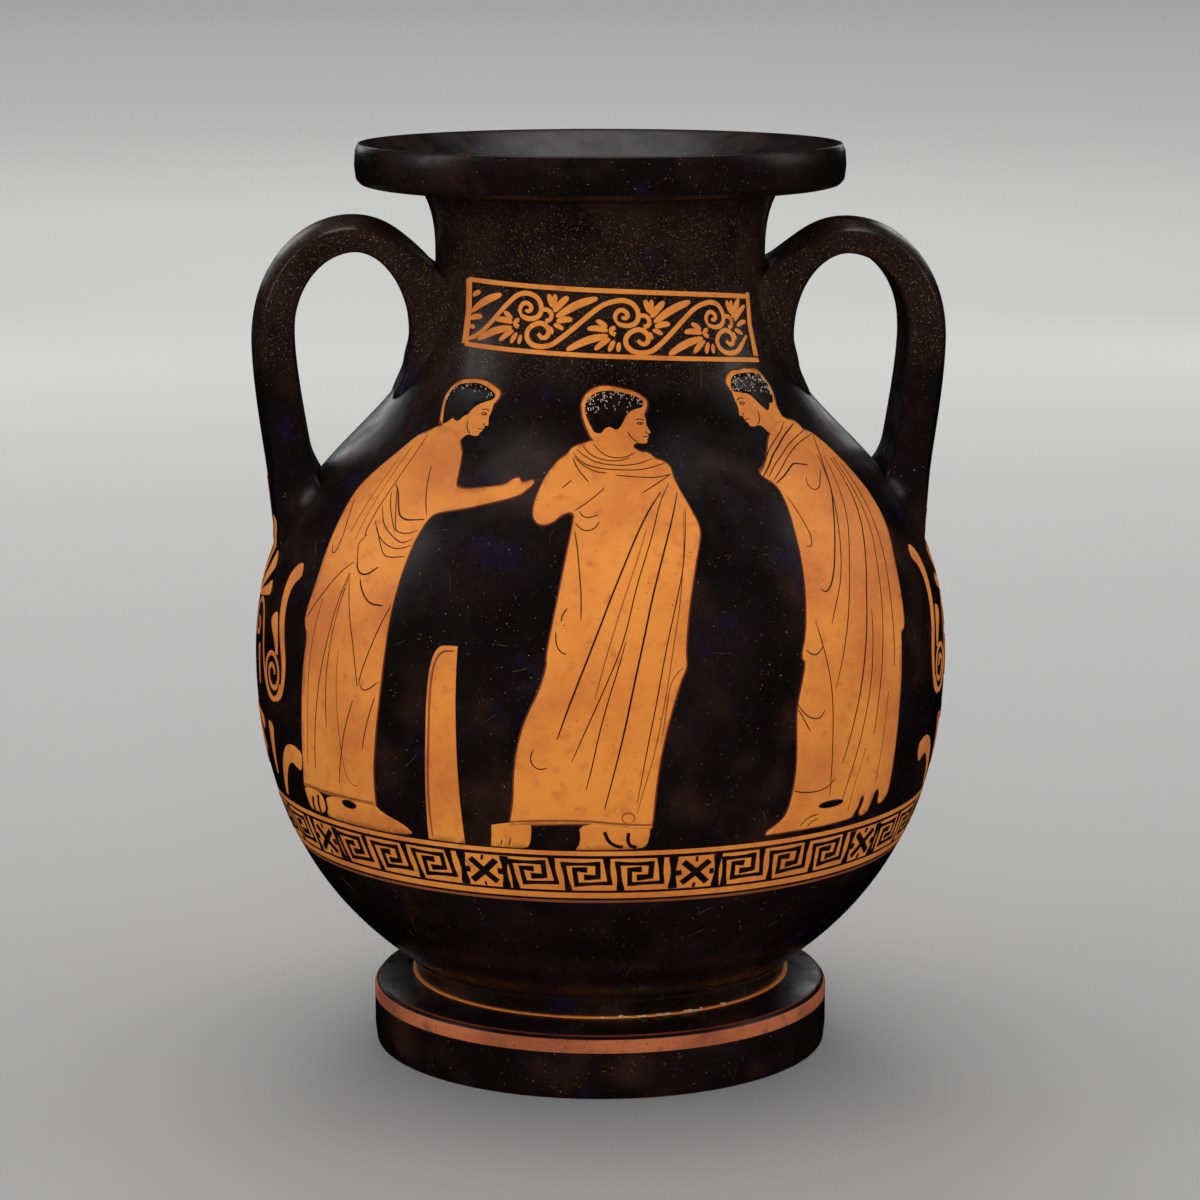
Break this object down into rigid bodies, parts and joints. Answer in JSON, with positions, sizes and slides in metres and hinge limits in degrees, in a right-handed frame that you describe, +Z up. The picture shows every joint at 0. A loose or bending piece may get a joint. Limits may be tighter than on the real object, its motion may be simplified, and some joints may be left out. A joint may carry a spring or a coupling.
{
  "type": "two-handled painted amphora",
  "caption": "Wide-mouthed pottery amphora with a low round belly, offset lip, ring foot and two ribbed strap handles, painted with draped youths on black gloss.",
  "frame": {"origin": "centre of the standing ring, on the plane the vase stands on", "axes": "+Z up through the mouth, handles on +X and -X, main picture facing -Y"},
  "size_m": [0.26, 0.26, 0.34],
  "materials": {
    "painted_clay": "black gloss slip with figures reserved in orange clay",
    "black_gloss": "fired black gloss slip, satin to glossy"
  },
  "bodies": {
    "root": {"foot": "black_gloss", "foot_fillet": "black_gloss", "body": "painted_clay", "neck": "painted_clay", "lip": "black_gloss", "left_handle": "black_gloss", "right_handle": "black_gloss", "left_neck_luting": "black_gloss", "left_shoulder_luting": "black_gloss", "right_neck_luting": "black_gloss", "right_shoulder_luting": "black_gloss"}
  },
  "joints": []
}
